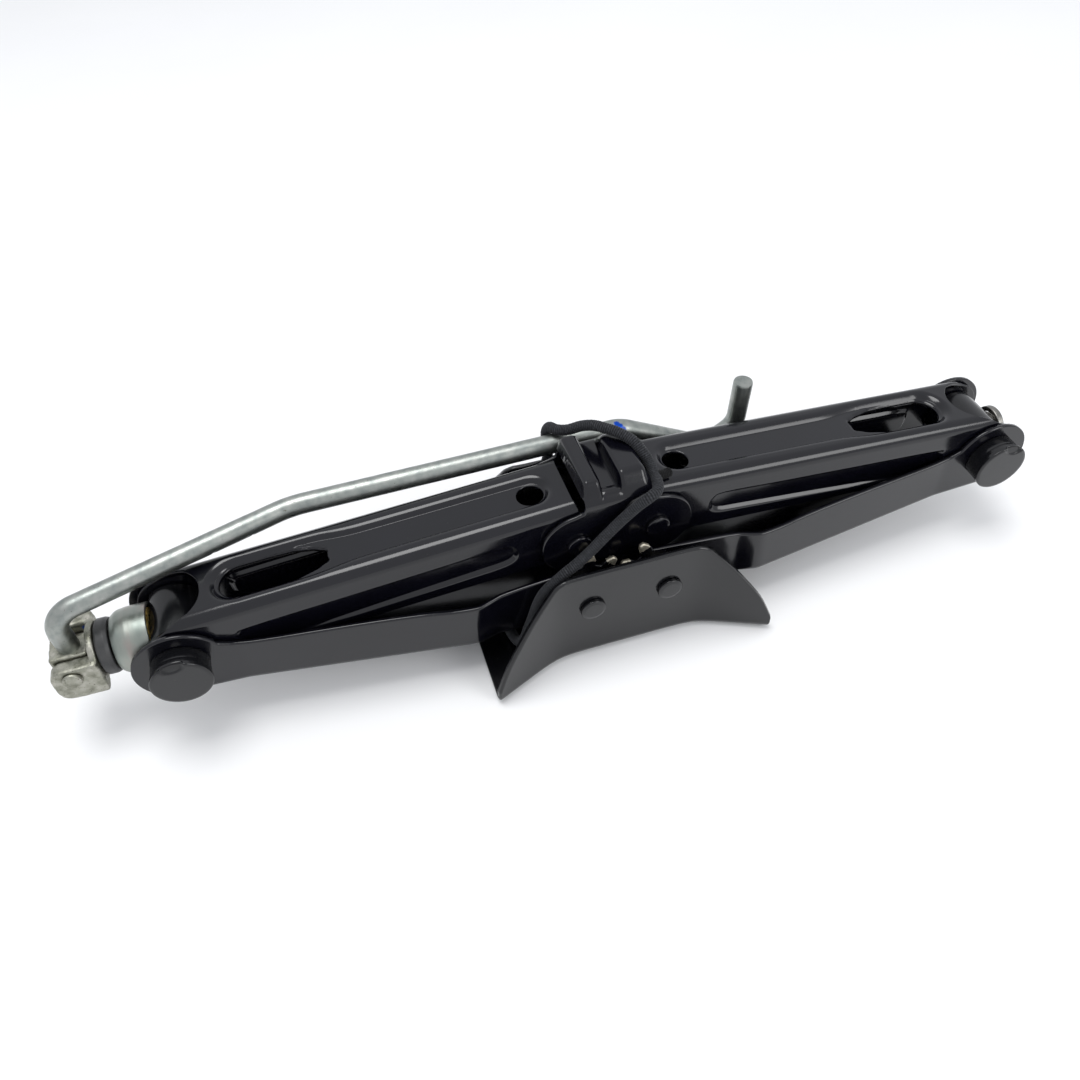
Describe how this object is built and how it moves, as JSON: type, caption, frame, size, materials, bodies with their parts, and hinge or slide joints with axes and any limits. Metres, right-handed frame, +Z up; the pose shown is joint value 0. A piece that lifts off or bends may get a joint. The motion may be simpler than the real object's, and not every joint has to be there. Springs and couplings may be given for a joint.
{
  "type": "scissor jack",
  "caption": "Closed scissor car jack with folded crank, pressed arms, geared arm ends, bow-tie base and grooved saddle, tied by an elastic cord",
  "frame": {"origin": "centre of the base's flat underside", "axes": "+Z up, X along the jack with the crank end at -X, -Y the side whose trunnion caps stand out"},
  "size_m": [0.4504, 0.104, 0.0928],
  "materials": {
    "black_paint": "gloss black paint",
    "zinc_plate": "bright zinc plate, slightly dulled",
    "cast_steel": "bare, grainy casting",
    "plain_steel": "oiled bare steel",
    "yellow_plate": "yellow-plated bearing race",
    "black_rubber_collar": "dull black collar",
    "black_cord": "woven elastic cord"
  },
  "bodies": {
    "base": {"base_plate": "black_paint", "base_pin_left": "black_paint", "base_pin_right": "black_paint", "base_pin_spacer_left_front": "plain_steel", "base_pin_spacer_left_rear": "plain_steel", "base_pin_spacer_right_front": "plain_steel", "base_pin_spacer_right_rear": "plain_steel", "elastic_cord": "black_cord", "cord_tail": "black_cord"},
    "lower_left": {"lower_arm_left": "black_paint"},
    "lower_right": {"lower_arm_right": "black_paint"},
    "left_trunnion": {"trunnion_left": "black_paint", "trunnion_cap_left": "black_paint", "trunnion_keeper_left": "black_paint", "inner_race": "yellow_plate", "ball_cage": "plain_steel"},
    "right_trunnion": {"trunnion_right": "black_paint", "trunnion_cap_right": "black_paint", "trunnion_keeper_right": "black_paint"},
    "upper_left": {"upper_arm_left": "black_paint"},
    "upper_right": {"upper_arm_right": "black_paint"},
    "saddle_body": {"saddle": "black_paint", "saddle_pin_left": "black_paint", "saddle_pin_right": "black_paint"},
    "screw": {"lead_screw": "plain_steel", "screw_end_stop": "plain_steel", "outer_race": "plain_steel", "thrust_cup": "zinc_plate", "thrust_collar": "black_rubber_collar", "screw_yoke": "cast_steel", "yoke_pin": "cast_steel"},
    "crank": {"crank_tongue": "cast_steel", "crank_rod": "zinc_plate"}
  },
  "joints": [
    {"name": "lift", "type": "hinge", "parent": "base", "child": "lower_left", "pos_m": [-0.018, 0, 0.034], "axis": [0, 1, 0], "range_deg": [0, 56], "deforming": ["elastic_cord", "cord_tail"]},
    {"name": "lower_right_turn", "type": "hinge", "parent": "base", "child": "lower_right", "pos_m": [0.018, 0, 0.034], "axis": [0, -1, 0], "range_deg": [0, 56]},
    {"name": "left_trunnion_turn", "type": "hinge", "parent": "lower_left", "child": "left_trunnion", "pos_m": [-0.19, 0, 0.045], "axis": [0, -1, 0], "range_deg": [0, 56]},
    {"name": "right_trunnion_turn", "type": "hinge", "parent": "lower_right", "child": "right_trunnion", "pos_m": [0.19, 0, 0.045], "axis": [0, 1, 0], "range_deg": [0, 56]},
    {"name": "upper_left_turn", "type": "hinge", "parent": "left_trunnion", "child": "upper_left", "pos_m": [-0.19, 0, 0.045], "axis": [0, -1, 0], "range_deg": [0, 56]},
    {"name": "upper_right_turn", "type": "hinge", "parent": "right_trunnion", "child": "upper_right", "pos_m": [0.19, 0, 0.045], "axis": [0, 1, 0], "range_deg": [0, 56]},
    {"name": "saddle_turn", "type": "hinge", "parent": "upper_left", "child": "saddle_body", "pos_m": [-0.018, 0, 0.056], "axis": [0, 1, 0], "range_deg": [0, 56]},
    {"name": "screw_spin", "type": "hinge", "parent": "left_trunnion", "child": "screw", "pos_m": [-0.19, 0, 0.045], "axis": [1, 0, 0], "range_deg": [-5, 5]},
    {"name": "crank_fold", "type": "hinge", "parent": "screw", "child": "crank", "pos_m": [-0.2325, 0, 0.045], "axis": [0, -1, 0], "range_deg": [0, 175]}
  ],
  "couplings": [
    {"joint": "lower_right_turn", "follows": "lift", "ratio": 1},
    {"joint": "left_trunnion_turn", "follows": "lift", "ratio": 1},
    {"joint": "right_trunnion_turn", "follows": "lift", "ratio": 1},
    {"joint": "upper_left_turn", "follows": "lift", "ratio": 1},
    {"joint": "upper_right_turn", "follows": "lift", "ratio": 1},
    {"joint": "saddle_turn", "follows": "lift", "ratio": 1},
    {"joint": "crank_fold", "follows": "lift", "ratio": 3.125}
  ]
}
